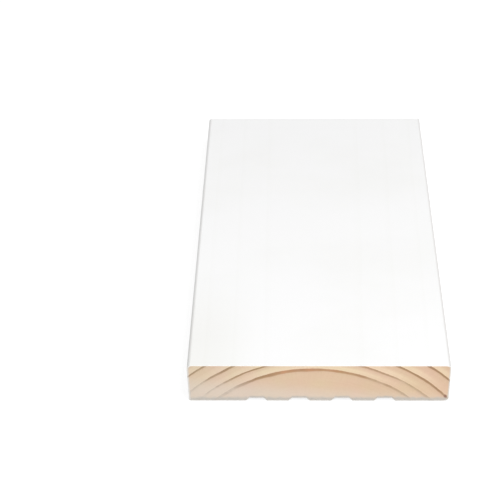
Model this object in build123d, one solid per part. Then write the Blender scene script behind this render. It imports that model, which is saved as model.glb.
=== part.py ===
from build123d import *
import os
from math import atan2, degrees, radians, tan

# A door jamb cut to a short length: one planed pine board with square-sawn ends.
# X runs across the width, Y along the length and Z through the thickness.
# The board lies on its grooved back with its face up.
# The origin is on the back plane, at the middle of the length and width.

# Driving dimensions in millimetres, and one angle in degrees
board_width = 117.475  # across the face, 4 5/8 in
board_thickness = 17.4625  # 11/16 in
board_length = 304.8  # 12 in
edge_bevel_angle = 3.0  # each edge leans in towards the back, so casing closes tight on the face
face_arris_radius = 1.5875  # the two long corners of the face are eased, 1/16 in
groove_count = 4  # shallow grooves along the back, which keep the board from cupping
groove_pitch = 19.05  # 3/4 in
groove_mouth_width = 9.525  # at the back plane, 3/8 in
groove_floor_width = 6.35  # 1/4 in
groove_depth = 1.35
groove_offset = 0.85  # the row of grooves sits this far to the right of the middle

# Sizes worked out from those
edge_inset = board_thickness * tan(radians(edge_bevel_angle))  # the back is this much narrower at each edge
face_half_width = board_width / 2
back_half_width = face_half_width - edge_inset
groove_wall_run = (groove_mouth_width - groove_floor_width) / 2
groove_wall_angle = degrees(atan2(groove_depth, groove_wall_run))

# The section stands on the back plane, with the face at the top, and runs along the whole board
with BuildPart() as jamb:
    with BuildSketch(Plane.XZ) as section:
        with BuildLine():
            Polyline(
                (-back_half_width, 0),
                (back_half_width, 0),
                (face_half_width, board_thickness),
                (-face_half_width, board_thickness),
                close=True,
            )
        make_face()
        face_corners = section.vertices().group_by(Axis.Y)[-1]
        fillet(face_corners, face_arris_radius)
        with Locations((groove_offset, 0)):
            with GridLocations(groove_pitch, 0, groove_count, 1):
                Trapezoid(
                    groove_mouth_width,
                    groove_depth,
                    groove_wall_angle,
                    align=(Align.CENTER, Align.MIN),
                    mode=Mode.SUBTRACT,
                )
    extrude(amount=board_length / 2, both=True)

jamb_board = jamb.part
jamb_board.label = "jamb_board"

os.makedirs("parts", exist_ok=True)
export_step(jamb_board, "parts/jamb_board.step")
print("volume", round(jamb_board.volume), "mm3, size", jamb_board.bounding_box().size)
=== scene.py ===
import math

import bpy
import numpy as np
from mathutils import Euler, Matrix, Vector, noise


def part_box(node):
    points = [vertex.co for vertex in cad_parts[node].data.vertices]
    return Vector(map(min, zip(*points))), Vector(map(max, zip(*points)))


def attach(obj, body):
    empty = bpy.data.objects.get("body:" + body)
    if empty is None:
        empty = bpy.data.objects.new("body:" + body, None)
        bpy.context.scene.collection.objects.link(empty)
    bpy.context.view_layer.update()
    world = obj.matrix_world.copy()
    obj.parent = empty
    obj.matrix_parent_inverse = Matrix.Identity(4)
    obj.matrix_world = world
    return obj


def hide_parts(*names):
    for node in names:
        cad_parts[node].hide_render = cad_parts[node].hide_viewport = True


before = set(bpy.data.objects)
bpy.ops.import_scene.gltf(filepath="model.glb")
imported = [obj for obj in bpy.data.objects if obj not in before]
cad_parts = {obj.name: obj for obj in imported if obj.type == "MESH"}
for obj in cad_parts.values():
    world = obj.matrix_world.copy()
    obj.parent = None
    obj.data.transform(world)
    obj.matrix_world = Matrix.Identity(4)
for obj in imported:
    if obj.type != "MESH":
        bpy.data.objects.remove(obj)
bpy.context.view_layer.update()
print("frame loaded:", ", ".join(sorted(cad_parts)))

mm = 0.001  # everything in Blender is in metres
tiny = 1e-12  # keeps a division clear of nought
usualNoise = (0.3, 0.7)  # most of a noise lies between these
white = (1.0, 1.0, 1.0, 1.0)


# lengths given in millimetres
def inMm(*lengths):
    return [length * mm for length in lengths]


# a colour as a paint card gives it, 0 to 255, through the sRGB curve to the values that shaders use
def tint(red, green, blue):
    steps = np.array([red, green, blue]) / 255
    linear = np.where(steps <= 0.04045, steps / 12.92, ((steps + 0.055) / 1.055) ** 2.4)
    return (*linear.tolist(), 1.0)


def addObject(name, data):
    made = bpy.data.objects.new(name, data)
    bpy.context.scene.collection.objects.link(made)
    return made


def newMaterial(name):
    made = bpy.data.materials.new(name)
    made.use_nodes = True
    tree = made.node_tree
    return made, tree, tree.nodes["Principled BSDF"]


# node helpers: a socket given as a value is linked, anything else is set on the input
def addNode(tree, kind, inputs=None, **settings):
    made = tree.nodes.new("ShaderNode" + kind)
    for name, value in settings.items():
        setattr(made, name, value)
    for name, value in (inputs or {}).items():
        if isinstance(value, bpy.types.NodeSocket):
            tree.links.new(value, made.inputs[name])
        else:
            made.inputs[name].default_value = value
    return made


def doMath(tree, operation, first, second, clamp=False):
    return addNode(tree, "Math", {0: first, 1: second}, operation=operation, use_clamp=clamp).outputs[0]


def times(tree, product, *others):
    for other in others:
        product = doMath(tree, "MULTIPLY", product, other)
    return product


def weigh(tree, parts, shares):
    total = 0.0
    for part, share in zip(parts, shares):
        inputs = {0: part, 1: share, 2: total}
        total = addNode(tree, "Math", inputs, operation="MULTIPLY_ADD").outputs[0]
    return total


def remap(tree, value, low, high, toLow=0.0, toHigh=1.0, smooth=False):
    inputs = {"Value": value, "From Min": low, "From Max": high, "To Min": toLow, "To Max": toHigh}
    kind = "SMOOTHSTEP" if smooth else "LINEAR"
    return addNode(tree, "MapRange", inputs, interpolation_type=kind).outputs[0]


# from a start down to nothing, between the two ends of a reach
def fadeOut(tree, value, reach, start=1.0):
    return remap(tree, value, *reach, start, 0.0, smooth=True)


def blend(tree, share, first, second, how="MIX"):
    inputs = {0: share, 6: first, 7: second}
    return addNode(tree, "Mix", inputs, data_type="RGBA", blend_type=how).outputs[2]


def ramp(tree, value, stops):
    made = addNode(tree, "ValToRGB", {"Fac": value})
    elements = made.color_ramp.elements
    while len(elements) < len(stops):
        elements.new(1.0)
    for element, (place, colour) in zip(elements, stops):
        element.position = place
        element.color = colour
    return made.outputs["Color"]


def cloud(tree, place, scale, detail=2.0, stretch=None):
    if stretch is not None:
        place = addNode(tree, "Mapping", {"Vector": place, "Scale": stretch}).outputs[0]
    return addNode(tree, "TexNoise", {"Vector": place, "Scale": scale, "Detail": detail}).outputs[0]


# the usual part of a noise, spread over the wanted values
def spread(tree, value, low, high):
    return remap(tree, value, *usualNoise, low, high)


# colours the surface where a noise is high, up to a share
def mark(tree, colour, marks, share, tone):
    return blend(tree, spread(tree, marks, 0.0, share), colour, tone)


# round dots in a share of the cells, soft over their outer half
def dots(tree, place, scale, size, share):
    cells = addNode(tree, "TexVoronoi", {"Vector": place, "Scale": scale}, voronoi_dimensions="2D")
    near = fadeOut(tree, cells.outputs["Distance"], (size / 2, size))
    chosen = doMath(tree, "LESS_THAN", cells.outputs["Color"], share)
    return times(tree, near, chosen)


def readPaint(tree, name, output="Fac"):
    return addNode(tree, "Attribute", attribute_name=name).outputs[output]


# how far the wood at a point is through its year, from 0 to 1
def readYear(tree):
    return doMath(tree, "FRACT", readPaint(tree, "year"), 0.0)


# colour, roughness from a noise, shine and relief
def finishShader(tree, shader, setup, colour, rough, height):
    tree.links.new(colour, shader.inputs["Base Color"])
    tree.links.new(spread(tree, rough, *setup["roughness"]), shader.inputs["Roughness"])
    shader.inputs["Specular IOR Level"].default_value = setup["shine"]
    inputs = {"Height": height, "Distance": setup["bumpHeight"], "Strength": setup["bumpStrength"]}
    tree.links.new(addNode(tree, "Bump", inputs).outputs[0], shader.inputs["Normal"])


# camera: a long lens in front of the near end, looking a little down on the face
cameraSetup = dict(
    place=inMm(-9.9, -1097.7, 498.6),
    tiltDown=24.19,  # degrees, like the next two
    turnLeft=1.2215,
    lean=-0.52,
    lens=172.1,  # millimetres, like the sensor
    sensor=36.0,
)


def setCamera(setup):
    data = bpy.data.cameras.new("camera")
    data.sensor_width = setup["sensor"]
    data.lens = setup["lens"]
    camera = addObject("camera", data)
    pitch = math.radians(90 - setup["tiltDown"])
    aim = Euler((pitch, 0, math.radians(setup["turnLeft"]))).to_matrix()
    turned = aim @ Matrix.Rotation(math.radians(setup["lean"]), 3, "Z")
    camera.matrix_world = Matrix.Translation(setup["place"]) @ turned.to_4x4()
    bpy.context.scene.camera = camera
    print("camera set")


setCamera(cameraSetup)

# floor and surround: plain white where they are seen, and the floor keeps a part of the shadow
floorSetup = dict(
    halfSide=6.0,  # metres
    bounce=tint(206, 206, 205),  # what the board sees of the floor
    shadowShare=0.26,
    glow=0.83,  # lifts the lit floor to white
)


# 1 where the camera, a mirror or a pane looks at it, 0 for light that bounces
def seenDirectly(tree):
    rays = addNode(tree, "LightPath").outputs
    mirrored = doMath(tree, "MAXIMUM", rays["Is Glossy Ray"], rays["Is Transmission Ray"])
    return doMath(tree, "MAXIMUM", rays["Is Camera Ray"], mirrored)


def layFloor(setup):
    side = setup["halfSide"]
    corners = [(-side, -side, 0), (side, -side, 0), (side, side, 0), (-side, side, 0)]
    mesh = bpy.data.meshes.new("floor")
    mesh.from_pydata(corners, [], [(0, 1, 2, 3)])
    floor = addObject("floor", mesh)

    material, tree, shader = newMaterial("studio_floor")
    tree.nodes.remove(shader)
    share = setup["shadowShare"]
    seen = addNode(tree, "BsdfDiffuse", {"Color": (share, share, share, 1)}).outputs[0]
    glow = addNode(tree, "Emission", {"Color": white, "Strength": setup["glow"]}).outputs[0]
    shown = addNode(tree, "AddShader", {0: seen, 1: glow}).outputs[0]
    bounced = addNode(tree, "BsdfDiffuse", {"Color": setup["bounce"]}).outputs[0]
    both = addNode(tree, "MixShader", {0: seenDirectly(tree), 1: bounced, 2: shown}).outputs[0]
    tree.links.new(both, tree.nodes["Material Output"].inputs["Surface"])
    mesh.materials.append(material)
    print("floor laid")


layFloor(floorSetup)

# light: an even white surround and one large soft lamp high in front, to the right
lightSetup = dict(
    surround=0.61,
    lampPlace=(0.60, -1.09, 1.47),  # metres
    lampAim=(0.0, -0.05, 0.0),
    lampSide=0.8,
    lampPower=22.2,  # watts
)


def hangLights(setup):
    world = bpy.data.worlds.new("surround")
    bpy.context.scene.world = world
    world.use_nodes = True
    tree = world.node_tree
    background = tree.nodes["Background"]
    level = remap(tree, seenDirectly(tree), 0.0, 1.0, setup["surround"], 1.0)
    background.inputs["Color"].default_value = white
    tree.links.new(level, background.inputs["Strength"])

    data = bpy.data.lights.new("softbox", "AREA")
    data.size = setup["lampSide"]
    data.energy = setup["lampPower"]
    lamp = addObject("softbox", data)
    place = Vector(setup["lampPlace"])
    lamp.location = place
    lamp.rotation_mode = "QUATERNION"
    lamp.rotation_quaternion = (Vector(setup["lampAim"]) - place).to_track_quat("-Z", "Y")
    bpy.context.scene.view_settings.view_transform = "Standard"
    print("lights hung")


hangLights(lightSetup)

# the section as packed, read from the points of the near end
sectionSetup = dict(
    node="jamb_board",
    endReach=0.01 * mm,  # a point this close to the near end lies on the cut
    faceReach=0.001 * mm,  # and this close to the top, on the face
    digits=7,  # points that agree to so many digits are one
)


# half the width at a height, the height of the grooved back across the width, and the eased corner
def readSection(setup):
    low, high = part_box(setup["node"])
    points = [v.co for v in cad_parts[setup["node"]].data.vertices]
    cut = [p for p in points if p.y < low.y + setup["endReach"]]
    digits = setup["digits"]
    spots = sorted({(round(p.x, digits), round(p.z, digits)) for p in cut})
    back = np.array([spot for spot in spots if spot[1] < high.z / 2])
    edgeTop = max(spots)  # where the leaning edge meets the eased corner
    faceHalf = max(x for x, z in spots if z > high.z - setup["faceReach"])
    across, down = edgeTop[0] - faceHalf, high.z - edgeTop[1]
    radius = (across**2 + down**2) / (2 * down)  # of the eased corner
    centre = high.z - radius

    def edgeAt(z):
        return back[-1, 0] + (edgeTop[0] - back[-1, 0]) * z / edgeTop[1]

    def halfWidth(z):
        rise = np.clip(z - centre, -radius, radius)
        eased = faceHalf + np.sqrt(radius**2 - rise**2)
        return np.where(z < edgeTop[1], edgeAt(z), eased)

    def backLevel(x):
        return np.interp(x, back[:, 0], back[:, 1])

    return dict(
        low=low, high=high, back=back, backHalf=back[-1, 0], edgeTop=edgeTop,
        faceHalf=faceHalf, radius=radius, centre=centre,
        edgeAt=edgeAt, halfWidth=halfWidth, backLevel=backLevel,
    )


section = readSection(sectionSetup)
print("section read, eased corner", round(section["radius"] / mm, 3), "mm")

# growth rings: flattened arcs about a pith below the back, wider spaced to the right
ringSetup = dict(
    pith=inMm(-7.1, -33.6),  # across and up
    drift=(0.005, 0.003),  # how it strays along the board
    flattened=0.283,  # 0 gives circles
    widerRight=0.063,
    droopFrom=53.0 * mm,  # right of this the rings turn down more sharply
    droop=5.2,
    ringEdges=inMm(30.0, 49.75, 54.15, 59.5, 65.72, 73.5),  # the outer side of each dark line
    lateBands=inMm(2.6, 1.35, 1.5, 1.6, 1.25),  # wood that darkens up to each line
    creamBand=3.1 * mm,  # pale wood just outside a line
    creamEnd=0.3,  # where the pale band ends and the dark one starts, as shares of one year
    lateStart=0.6,
    # how bold each line is on its left and right, and how slim the first and the others are
    boldness=((1.3, 0.62), (0.8, 0.48), (1.05, 1.25), (1.4, 1.4), (1.0, 1.0)),
    slimness=((1.0, 1.8), (1.0, 1.0)),
    lineSides=inMm(-16.0, 30.0),  # where that left and right are
    wander=0.17 * mm,  # how far a line sways, and over what length
    wanderSize=7.0 * mm,
    finerSways=((1.0, 1.0), (3.7, 0.55), (9.0, 0.38)),  # how much finer, and how strong
    lengthwise=12.0,  # how much longer the sways are along the board
    swell=0.45,  # how much a line thickens and thins, and over what length
    swellSize=9.0 * mm,
    fadeHeights=inMm(3.0, 10.2, 12.1),  # lines fade towards the back of the board
    fadeShares=(0.42, 0.52, 1.0),
    fadeSides=inMm(-50.0, -28.0, 26.0, 50.0),  # more on the left, less on the right
    sideShares=(0.75, 1.0, 0.9, 1.35),
    breaks=0.40,  # how unevenly a line is drawn, and over what length
    breakSize=4.0 * mm,
)


def roughen(spots):
    return np.array([noise.noise(Vector(spot)) for spot in spots])


# a value that each line has on its left and right, at points between
def betweenSides(pairs, year, x, setup):
    ring = np.clip(year.astype(int), 0, len(pairs) - 1)
    left, right = np.array(pairs)[ring].T
    return left + (right - left) * np.interp(x, setup["lineSides"], (0, 1))


# year: whole numbers at the ring edges. place: along the ring, out from the pith and along the board
def growRings(x, y, z, setup):
    along = y - section["low"].y
    across = x - setup["pith"][0] - setup["drift"][0] * along
    up = z - setup["pith"][1] - setup["drift"][1] * along
    flat = setup["flattened"]
    out = (1 - flat) * np.hypot(across, up) + flat * up - setup["widerRight"] * across
    out = out + setup["droop"] * np.maximum(across - setup["droopFrom"], 0) ** 2
    edges = setup["ringEdges"]
    arc = np.arctan2(across, up) * edges[1]
    spots = np.stack([arc, out, along / setup["lengthwise"]], 1)
    for finer, share in setup["finerSways"]:
        out = out + setup["wander"] * share * roughen(spots * finer / setup["wanderSize"])

    start = setup["lateStart"]
    radii, years = [], []
    for ring, (inner, outer) in enumerate(zip(edges, edges[1:])):
        radii += [inner, inner + setup["creamBand"], outer - setup["lateBands"][ring]]
        years += [ring, ring + setup["creamEnd"], ring + start]
    year = np.interp(out, radii + [edges[-1]], years + [len(edges) - 1])

    # the dark part of each year grows and shrinks along its ring
    late = np.clip((year % 1 - start) / (1 - start), 0, 1)
    slim = betweenSides(setup["slimness"], year, x, setup)
    swollen = late ** (slim * np.exp(-setup["swell"] * roughen(spots / setup["swellSize"])))
    year = np.where(late > 0, np.floor(year) + start + (1 - start) * swollen, year)
    return year, np.stack([arc, out, along], 1)


# how strongly each dark line shows, from ring to ring and from place to place
def drawLines(x, z, year, ringPlace, setup):
    bold = betweenSides(setup["boldness"], year, x, setup)
    faded = np.interp(z, setup["fadeHeights"], setup["fadeShares"])
    faded = faded * np.interp(x, setup["fadeSides"], setup["sideShares"])
    uneven = roughen(ringPlace / setup["breakSize"])
    return np.clip(bold * faded * (1 + setup["breaks"] * uneven), 0, 1)


# white primer, sprayed on the face, edges and back over planed wood
primerSetup = dict(
    tone=tint(244, 244, 244),
    thinCoatAndShadeTone=tint(236, 236, 233),  # where the coat is thin, and painted shade at the left front
    arrisShadeTone=tint(214, 213, 211),  # painted shade along the eased corners
    patchScale=14.0,
    patchEdges=(0.42, 0.72),
    grainYears=(0.70, 1.0),  # the dark wood that shows through and stands up a little
    shadeAcross=(-0.9, -0.35),  # painted shade at the left front, as shares of half the width and length
    shadeAlong=(-0.85, -0.3),
    thinCoatAndShadeShares=(0.3, 0.12, 0.8),  # of the patches, the grain and the painted shade at the left front
    stippleScale=1300.0,
    fibreScale=900.0,
    fibreStretch=(1.0, 0.03, 1.0),  # long along the board
    reliefShares=(0.5, 0.5, 0.6),  # of the stipple, the fibres and the grain
    bumpHeight=0.05 * mm,
    bumpStrength=0.25,
    roughness=(0.48, 0.64),
    shine=0.18,
)


def mixPrimer(setup):
    material, tree, shader = newMaterial("white_primer")
    place = addNode(tree, "TexCoord").outputs["Object"]
    across, along, _ = addNode(tree, "SeparateXYZ", {0: place}).outputs
    halfWidth, halfLength = section["high"].x, section["high"].y
    patches = cloud(tree, place, setup["patchScale"], detail=3.0)
    patches = remap(tree, patches, *setup["patchEdges"], smooth=True)
    grain = remap(tree, readYear(tree), *setup["grainYears"])
    # painted shade towards the left front of the face
    toLeft = fadeOut(tree, across, [share * halfWidth for share in setup["shadeAcross"]])
    toFront = fadeOut(tree, along, [share * halfLength for share in setup["shadeAlong"]])
    stipple = cloud(tree, place, setup["stippleScale"], detail=3.0)
    fibres = cloud(tree, place, setup["fibreScale"], detail=4.0, stretch=setup["fibreStretch"])

    thinCoatAndShade = weigh(tree, (patches, grain, times(tree, toLeft, toFront)), setup["thinCoatAndShadeShares"])
    colour = blend(tree, thinCoatAndShade, setup["tone"], setup["thinCoatAndShadeTone"])
    # painted shade along the eased corners
    colour = blend(tree, readPaint(tree, "arris"), colour, setup["arrisShadeTone"])
    height = weigh(tree, (stipple, fibres, grain), setup["reliefShares"])
    finishShader(tree, shader, setup, colour, stipple, height)
    print("primer mixed")
    return material


# bare sawn pine: pale early wood, brown late wood lines, and primer that ran round the edge of the cut,
# greyed with painted shade
endSetup = dict(
    year=[  # across one ring, from just outside a line to the next line
        (0.00, tint(237, 213, 193)),
        (0.60, tint(232, 206, 186)),
        (0.75, tint(227, 200, 179)),
        (0.80, tint(200, 168, 141)),
        (0.84, tint(172, 139, 111)),
        (0.90, tint(164, 131, 103)),
        (1.00, tint(161, 128, 100)),
    ],
    fadedYear=[  # the same where a line has faded out
        (0.00, tint(233, 209, 189)),
        (0.30, tint(232, 207, 188)),
        (0.60, tint(231, 207, 188)),
        (0.90, tint(220, 200, 182)),
        (1.00, tint(217, 197, 179)),
    ],
    gapScale=700.0,  # fine breaks in the lines, deeper where the lines fade
    gapStretch=(0.45, 0.3, 0.1),
    gapShare=0.36,
    gapsEnd=1.2,  # a line this strong would have none
    gapAcross=inMm(-10.0, 20.0),  # and shallower on the right
    gapRight=0.35,
    lineAlong=[  # the colour of a line along its ring, from left to right of its top
        (0.20, tint(171, 145, 122)),
        (0.34, tint(164, 131, 99)),
        (0.42, tint(202, 151, 121)),
        (0.64, tint(199, 148, 117)),
        (0.76, tint(170, 139, 112)),
    ],
    lineReach=60.0 * mm,
    lineYears=(0.75, 0.84),
    patchyScale=170.0,  # that colour comes and goes
    patchyShares=(0.4, 1.0),
    cream=tint(250, 232, 210),  # pale wood just outside a line, most of it near the face
    creamYears=(0.12, 0.31),
    creamHeights=inMm(6.0, 14.5),
    creamShares=(0.12, 0.85),
    creamAcross=inMm(-48.0, -8.0),  # and less on the left
    creamLeft=0.4,
    rayScale=1000.0,
    rayStretch=(1.6, 0.12, 0.1),  # thin across, long out from the pith
    rayTone=tint(206, 172, 140),
    rayShare=0.10,
    streakScale=1000.0,
    streakStretch=(0.05, 1.3, 0.1),  # thin across, long round the ring
    streakTone=tint(214, 178, 146),
    streakShare=0.16,
    poreScale=2600.0,
    poreTone=tint(196, 164, 134),
    poreShare=0.12,
    canalScale=760.0,  # resin canals: small dots, most of them near the dark lines
    canalSize=0.11,
    canalShare=0.42,
    canalTone=tint(184, 143, 110),
    canalYears=(0.2, 0.75),
    canalShares=(0.06, 0.5),
    blotchScale=85.0,
    blotches=(tint(255, 250, 250), tint(252, 255, 246)),
    sides=[  # greyer to the left, warmer to the right
        (0.0, tint(250, 252, 252)),
        (0.5, tint(255, 254, 246)),
        (1.0, tint(253, 246, 240)),
    ],
    hazeTone=tint(228, 221, 213),  # greyed towards the back, more so on the left
    hazeTilt=0.075,
    hazeReach=inMm(1.0, 9.4),
    hazeShare=0.46,
    shadedRimTone=tint(200, 195, 188),  # primer that ran round the back and side edges, thin over the wood, greyed with painted shade
    rimEnd=(0.42, 1.05),  # where it thins out, as a share of its width
    rimShare=0.92,
    rimShows=0.5,  # how far the dark lines show through it
    rimEdgeShadeTone=tint(231, 227, 221),  # less painted shade right at the edge
    edgeReach=inMm(0.4, 0.9),
    raggedScale=380.0,
    ragged=0.15,
    filmWidth=inMm(0.05, 0.09),  # the full coat, on the very edge
    bruiseAndShade=tint(140, 98, 84),  # torn wood and painted shade in the chip at the knocked corner
    bruiseAndShadeAt=inMm(56.2, 2.5),
    bruiseAndShadeReach=inMm(0.2, 1.1),
    bruiseAndShadeRagged=1.8 * mm,
    bruiseAndShadeShare=0.75,
    sawScale=1500.0,
    sawStretch=(1.0, 1.0, 0.05),  # saw marks, upright
    reliefShares=(0.6, 0.25, 0.35),  # of the pores, the rays and the saw marks
    bumpHeight=0.08 * mm,
    bumpStrength=0.5,
    roughness=(0.66, 0.84),
    shine=0.35,
)


# dark lines, whole near the face, broken and faded towards the back, reddish at the top of a ring
def toneRings(tree, setup, at):
    line = readPaint(tree, "lineStrength")
    gaps = cloud(tree, at["ring"], setup["gapScale"], stretch=setup["gapStretch"])
    gaps = spread(tree, gaps, -setup["gapShare"], setup["gapShare"])
    whereFaded = doMath(tree, "SUBTRACT", setup["gapsEnd"], line)
    onLeft = remap(tree, at["across"], *setup["gapAcross"], 1.0, setup["gapRight"])
    strength = doMath(tree, "ADD", line, times(tree, gaps, whereFaded, onLeft), clamp=True)
    faded = ramp(tree, at["year"], setup["fadedYear"])
    colour = blend(tree, strength, faded, ramp(tree, at["year"], setup["year"]))

    late = times(tree, strength, remap(tree, at["year"], *setup["lineYears"]))
    patchy = spread(tree, cloud(tree, at["ring"], setup["patchyScale"]), *setup["patchyShares"])
    arc = addNode(tree, "SeparateXYZ", {0: at["ring"]}).outputs[0]
    lineTone = ramp(tree, remap(tree, arc, -setup["lineReach"], setup["lineReach"]), setup["lineAlong"])
    return blend(tree, times(tree, late, patchy), colour, lineTone), late


def addCream(tree, setup, at, colour):
    outside = fadeOut(tree, at["year"], setup["creamYears"])
    nearFace = remap(tree, at["up"], *setup["creamHeights"], *setup["creamShares"], smooth=True)
    onRight = remap(tree, at["across"], *setup["creamAcross"], setup["creamLeft"], 1.0)
    return blend(tree, times(tree, nearFace, onRight, outside), colour, setup["cream"])


def addFineGrain(tree, setup, at, colour, rays, pores):
    streaks = cloud(tree, at["ring"], setup["streakScale"], detail=3.0, stretch=setup["streakStretch"])
    colour = mark(tree, colour, rays, setup["rayShare"], setup["rayTone"])
    colour = mark(tree, colour, streaks, setup["streakShare"], setup["streakTone"])
    colour = mark(tree, colour, pores, setup["poreShare"], setup["poreTone"])
    canals = dots(tree, at["ring"], setup["canalScale"], setup["canalSize"], setup["canalShare"])
    nearLine = remap(tree, at["year"], *setup["canalYears"], *setup["canalShares"])
    return blend(tree, times(tree, canals, nearLine), colour, setup["canalTone"])


# soft blotches, one side warmer than the other, and grey haze near the back
def addHaze(tree, setup, at, colour):
    blotch = spread(tree, cloud(tree, at["place"], setup["blotchScale"]), 0.0, 1.0)
    colour = blend(tree, 1.0, colour, blend(tree, blotch, *setup["blotches"]), how="MULTIPLY")
    half = section["backHalf"]
    sides = ramp(tree, remap(tree, at["across"], -half, half), setup["sides"])
    colour = blend(tree, 1.0, colour, sides, how="MULTIPLY")
    lift = weigh(tree, (at["across"], at["up"]), (setup["hazeTilt"], 1.0))
    haze = fadeOut(tree, lift, setup["hazeReach"], setup["hazeShare"])
    return blend(tree, haze, colour, setup["hazeTone"])


# primer on the rim, greyed with painted shade, thinner over the dark lines, and a dark spot of torn
# wood and painted shade at the knocked corner
def coatAndShadeRim(tree, setup, at, colour, late, primerTone):
    ragged = cloud(tree, at["place"], setup["raggedScale"], detail=4.0)
    ragged = spread(tree, ragged, -setup["ragged"], setup["ragged"])
    coat = doMath(tree, "ADD", readPaint(tree, "rim"), ragged)
    coat = fadeOut(tree, coat, setup["rimEnd"], setup["rimShare"])
    offLines = remap(tree, late, 0.0, 1.0, 1.0, 1 - setup["rimShows"])
    fromEdge = readPaint(tree, "insideCut")
    edge = fadeOut(tree, fromEdge, setup["edgeReach"])
    # the rim's painted shade, lighter right at the edge
    shadedRimTone = blend(tree, edge, setup["shadedRimTone"], setup["rimEdgeShadeTone"])
    colour = blend(tree, times(tree, coat, offLines), colour, shadedRimTone)

    # a dark spot at the knocked corner: torn wood and painted shade in the chip
    bruiseAndShadeX, bruiseAndShadeZ = setup["bruiseAndShadeAt"]
    spot = {0: at["place"], 1: (bruiseAndShadeX, section["low"].y, bruiseAndShadeZ)}
    away = addNode(tree, "VectorMath", spot, operation="DISTANCE").outputs["Value"]
    away = weigh(tree, (ragged, away), (setup["bruiseAndShadeRagged"], 1.0))
    bruisedAndShaded = fadeOut(tree, away, setup["bruiseAndShadeReach"], setup["bruiseAndShadeShare"])
    colour = blend(tree, bruisedAndShaded, colour, setup["bruiseAndShade"])
    film = remap(tree, fromEdge, *setup["filmWidth"], 1.0, 0.0)
    return blend(tree, film, colour, primerTone)


def mixEndGrain(setup, primerTone):
    material, tree, shader = newMaterial("bare_pine_end")
    place = addNode(tree, "TexCoord").outputs["Object"]
    across, _, up = addNode(tree, "SeparateXYZ", {0: place}).outputs
    ring = readPaint(tree, "ringPlace", "Vector")
    at = dict(place=place, across=across, up=up, ring=ring, year=readYear(tree))
    rays = cloud(tree, ring, setup["rayScale"], stretch=setup["rayStretch"])
    pores = cloud(tree, place, setup["poreScale"])
    sawMarks = cloud(tree, place, setup["sawScale"], detail=3.0, stretch=setup["sawStretch"])

    colour, late = toneRings(tree, setup, at)
    colour = addCream(tree, setup, at, colour)
    colour = addFineGrain(tree, setup, at, colour, rays, pores)
    colour = addHaze(tree, setup, at, colour)
    colour = coatAndShadeRim(tree, setup, at, colour, late, primerTone)
    height = weigh(tree, (pores, rays, sawMarks), setup["reliefShares"])
    finishShader(tree, shader, setup, colour, pores, height)
    print("end grain mixed")
    return material


# the board itself: one closed skin, with both sawn ends as fine grids that carry the rings in relief
jambSetup = dict(
    cell=0.34 * mm,  # of the grids
    rimSteps=inMm(0.0, 0.055, 0.15, 0.32),  # grid lines that round the cut edge over
    rimEase=inMm(0.28, 0.18),  # how wide and how deep the cut edge is rounded
    backEase=inMm(1.2, 0.55),  # the same along the grooved back
    edgeRough=0.5,  # how unevenly, and how finely
    edgeRoughScale=900.0,
    endSeeds=(0.0, 5.0),  # so that the near and far ends differ
    ringRelief=0.06 * mm,
    reliefYears=(0.7, 0.95),  # the dark wood rises from the first to the second
    backRims=inMm(2.5, 1.5),  # how far the primer and its painted shade reach round the back edge, on the lands and in the grooves
    sideRims=inMm(1.05, 0.85),  # the same from the left and right edges
    arrisSteps=8,  # grid rows up the eased corners
    arrisReach=5.0 * mm,  # grid columns this near the edge bend round the eased corner
    # degrees up the eased corners, left and right, and how strong the painted shade is there
    arrisShadeTurns=((0.0, 34.0, 68.0, 86.0), (-2.0, 4.0, 58.0, 75.0)),
    arrisShadeShares=((0.0, 0.52, 0.52, 0.0), (0.0, 0.95, 0.95, 0.0)),
    arrisShadeAlong=(1.0, 0.70),  # less painted shade towards the far end
    squared=4.5,  # how square the right-hand corner is, 2 gives a round one
    cornerWear=0.45 * mm,  # the back corners all along
    knocks=inMm(0.5, 1.7),  # more wear at the near end, left and right
    knockLength=9.0 * mm,
    # where the points along the length lie, from each end
    stations=inMm(0.4, 0.9, 1.7, 3.0, 5.0, 8.0, 12.5, 19.0, 28.0, 41.0, 60.0, 85.0, 118.0),
    sharpAngle=32.0,  # degrees
    mapGap=0.006,  # between the parts of the bake map, as a share of its side
)


def evenSteps(stops, longest):
    steps = []
    for start, end in zip(stops, stops[1:]):
        count = max(1, round((end - start) / longest))
        steps.extend(np.linspace(start, end, count + 1)[:-1])
    return np.array(steps + [stops[-1]])


# how far a point of the cut is from its rim
def insideCut(x, z):
    level, half = section["backLevel"](x), section["halfWidth"](z)
    gap = np.minimum(z - level, section["high"].z - z)
    gap = np.minimum(gap, half - np.abs(x))
    cx, cz = np.abs(x) - section["faceHalf"], z - section["centre"]
    eased = section["radius"] - np.hypot(cx, cz)
    return np.maximum(np.where((cx > 0) & (cz > 0), np.minimum(gap, eased), gap), 0)


# how far the cut is rounded back at a distance from the rim
def roundedOff(gap, ease):
    width, depth = ease
    bend = np.clip(1 - gap / width, 0, 1)
    return depth * (1 - np.sqrt(1 - bend**2))


# rounds a back corner: a square of the given side becomes a quarter disc
def wearCorner(x, z, radius, side):
    a = radius - (section["edgeAt"](z) - side * x)
    b = radius - z
    worn = (a > 0) & (b > 0)
    level = np.maximum(a, b)
    scale = np.where(worn, level / np.maximum(np.hypot(a, b), tiny), 1.0)
    newZ = np.where(worn, radius - b * scale, z)
    newX = np.where(worn, side * (section["edgeAt"](z) - radius + a * scale), x)
    return newX, newZ


# squares up the eased corner on the right, which is less worn
def squareCorner(x, z, power):
    a, b = x - section["faceHalf"], z - section["centre"]
    inside = (a > 0) & (b > 0)
    reach = np.hypot(a, b)
    level = (np.abs(a) ** power + np.abs(b) ** power) ** (1 / power)
    scale = np.where(inside, reach / np.maximum(level, tiny), 1.0)
    return np.minimum(x + a * (scale - 1), section["high"].x), z + b * (scale - 1)


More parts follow.
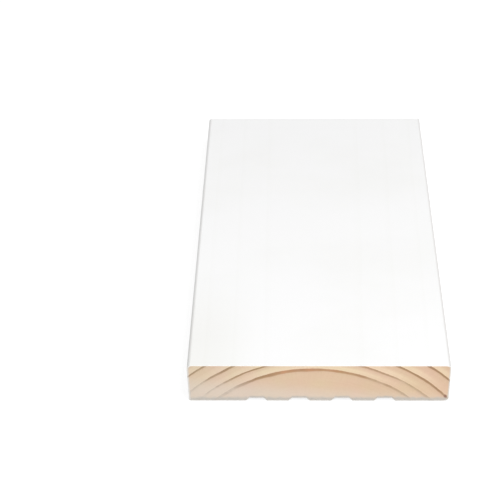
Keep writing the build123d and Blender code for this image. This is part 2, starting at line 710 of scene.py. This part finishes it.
# that corner, and the wear of both back corners, which are knocked at the near end
def shapeCorners(setup, x, y, z):
    x, z = squareCorner(x, z, setup["squared"])
    knocked = np.exp(-(((y - section["low"].y) / setup["knockLength"]) ** 2))
    for side, knock in zip((-1, 1), setup["knocks"]):
        x, z = wearCorner(x, z, setup["cornerWear"] + knock * knocked, side)
    return x, z


# the grid of one cut end: columns and rows that follow the section's outline
def gridEnd(setup):
    top, half, steps = section["high"].z, section["backHalf"], setup["rimSteps"]
    leftRim = [-half + step for step in steps]
    rightRim = [half - step for step in reversed(steps)]
    grooves = section["back"][1:-1, 0].tolist()
    columns = evenSteps(leftRim + grooves + rightRim, setup["cell"])
    heights = np.array([section["edgeTop"][1], top - steps[-1]])
    start, end = np.arcsin((heights - section["centre"]) / section["radius"])
    turns = np.linspace(start, end, setup["arrisSteps"] + 1)
    arris = section["centre"] + section["radius"] * np.sin(turns)
    rows = evenSteps(steps + [arris[0]], setup["cell"])
    rows = np.concatenate([rows, arris[1:-1], [top - step for step in reversed(steps)]])

    floorLine = section["backLevel"](columns)
    z = floorLine + rows[:, None] / top * (top - floorLine)
    x = columns / section["edgeAt"](floorLine) * section["edgeAt"](z)
    bend = np.clip((np.abs(columns) - half + setup["arrisReach"]) / setup["arrisReach"], 0, 1)
    bulge = section["halfWidth"](z) - section["edgeAt"](z)
    return x + np.sign(columns) * bend**2 * bulge, z


# how deep the cut surface lies: rounded at the rim, with the late wood standing a little proud
def sinkEnd(setup, x, z, endY, seed):
    gap = insideCut(x, z)
    above = z - section["backLevel"](x)
    finer = setup["edgeRoughScale"]
    rough = roughen((a * finer, b * finer, seed) for a, b in zip(x, z))
    eased = np.maximum(roundedOff(gap, setup["rimEase"]), roundedOff(above, setup["backEase"]))
    year = growRings(x, np.full_like(x, endY), z, ringSetup)[0]
    sunk = np.interp(year % 1, setup["reliefYears"], (1, 0))
    body = np.clip(gap / setup["rimEase"][0] - 1, 0, 1)
    return eased * (1 + setup["edgeRough"] * rough) + setup["ringRelief"] * sunk * body


# all the points: the near end, the far end, then a loop of them at each station between
def placePoints(setup, x, z, loop):
    low, high = section["low"], section["high"]
    nearSeed, farSeed = setup["endSeeds"]
    nearY = low.y + sinkEnd(setup, x, z, low.y, nearSeed)
    farY = high.y - sinkEnd(setup, x, z, high.y, farSeed)
    length = high.y - low.y
    near = setup["stations"]
    shares = np.array(near + [length / 2] + [length - s for s in reversed(near)]) / length
    tubeY = nearY[loop] + shares[:, None] * (farY - nearY)[loop]
    allX = np.concatenate([x, x, np.tile(x[loop], len(shares))])
    allY = np.concatenate([nearY, farY, tubeY.ravel()])
    allZ = np.concatenate([z, z, np.tile(z[loop], len(shares))])
    return allX, allY, allZ, shares


# how much painted shade the eased corners get, from 0 to 1
def shadeArris(setup, x, y, z):
    turn = np.degrees(np.arctan2(z - section["centre"], np.abs(x) - section["faceHalf"]))
    sides = [np.interp(turn, *side) for side in zip(setup["arrisShadeTurns"], setup["arrisShadeShares"])]
    farther = np.interp(y, (section["low"].y, section["high"].y), setup["arrisShadeAlong"])
    return np.where(x < 0, *sides) * farther


# what the materials read at each point
def paintSkin(setup, x, y, z):
    year, ringPlace = growRings(x, y, z, ringSetup)
    onLand, inGroove = setup["backRims"]
    backRim = np.minimum(z / onLand, (z - section["backLevel"](x)) / inGroove)
    sideRim = (section["halfWidth"](z) - np.abs(x)) / np.where(x < 0, *setup["sideRims"])
    return dict(
        year=year,
        lineStrength=drawLines(x, z, year, ringPlace, ringSetup),
        insideCut=insideCut(x, z),
        # the reach of the primer rim with its painted shade
        rim=np.minimum(backRim, sideRim),
        # painted shade on the eased corners
        arris=shadeArris(setup, x, y, z),
        ringPlace=ringPlace,
    )


def storePaint(mesh, paint):
    for name, values in paint.items():
        kind, field = ("FLOAT", "value") if values.ndim == 1 else ("FLOAT_VECTOR", "vector")
        layer = mesh.attributes.new(name, kind, "POINT")
        layer.data.foreach_set(field, values.astype(np.float32).ravel())


# faces: the near end, the far end turned round, then the long skin between them
def joinFaces(index, loop, stations):
    corners = [index[:-1, :-1], index[:-1, 1:], index[1:, 1:], index[1:, :-1]]
    quads = np.stack(corners, -1).reshape(-1, 4)
    count, turn = index.size, len(loop)
    between = [2 * count + station * turn + np.arange(turn) for station in range(stations)]
    rings = [loop] + between + [loop + count]
    skin = [np.stack([a, b, np.roll(b, -1), np.roll(a, -1)], 1) for a, b in zip(rings, rings[1:])]
    return quads, np.concatenate([quads, quads[:, ::-1] + count] + skin)


# a flat map of the skin for baking: the two ends in rows at the bottom, the long skin unrolled above
def mapSkin(setup, x, z, loop, shares, quads):
    gap, tall = setup["mapGap"], section["high"].z
    scale = (1 - 2 * gap) / (x.max() - x.min())
    u = gap + (x - x.min()) * scale
    nearEnd = np.stack([u, gap + z * scale], 1)
    farEnd = np.stack([u, 2 * gap + (tall + z) * scale], 1)

    ring = np.append(loop, loop[0])
    walked = np.append(0, np.cumsum(np.hypot(np.diff(x[ring]), np.diff(z[ring]))))
    base = 3 * gap + 2 * tall * scale
    v = base + walked / walked[-1] * (1 - gap - base)
    u = gap + np.concatenate([[0], shares, [1]]) * (1 - 2 * gap)
    stripU = np.stack([u[:-1], u[1:], u[1:], u[:-1]], 1)
    stripV = np.stack([v[:-1], v[:-1], v[1:], v[1:]], 1)
    strips = np.stack(np.broadcast_arrays(stripU[:, None], stripV[None]), -1)
    return np.concatenate([nearEnd[quads].ravel(), farEnd[quads[:, ::-1]].ravel(), strips.ravel()])


def cutJamb(setup):
    gridX, gridZ = gridEnd(setup)
    x, z = gridX.ravel(), gridZ.ravel()
    index = np.arange(x.size).reshape(gridX.shape)
    rim = [index[0], index[1:, -1], index[-1, -2::-1], index[-2:0:-1, 0]]  # back, right, face and left
    loop = np.concatenate(rim)
    allX, allY, allZ, shares = placePoints(setup, x, z, loop)
    paint = paintSkin(setup, allX, allY, allZ)
    allX, allZ = shapeCorners(setup, allX, allY, allZ)
    quads, faces = joinFaces(index, loop, len(shares))

    mesh = bpy.data.meshes.new("primed_jamb")
    mesh.from_pydata(np.stack([allX, allY, allZ], 1).tolist(), [], faces.tolist())
    flat = mapSkin(setup, x, z, loop, shares, quads)
    mesh.uv_layers.new(name="OFBake").data.foreach_set("uv", flat.astype(np.float32))
    storePaint(mesh, paint)
    mesh.materials.append(mixPrimer(primerSetup))
    mesh.materials.append(mixEndGrain(endSetup, primerSetup["tone"]))
    slots = np.zeros(len(faces), np.int32)
    slots[: 2 * len(quads)] = 1  # both ends are bare
    mesh.polygons.foreach_set("material_index", slots)
    mesh.shade_smooth()
    mesh.set_sharp_from_angle(angle=math.radians(setup["sharpAngle"]))
    mesh.validate()
    mesh.update()

    board = addObject("primed_jamb", mesh)
    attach(board, "root")
    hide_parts("jamb_board")
    rows, columns = gridX.shape
    print("jamb cut:", columns, "columns,", rows, "rows,", len(faces), "faces")


cutJamb(jambSetup)
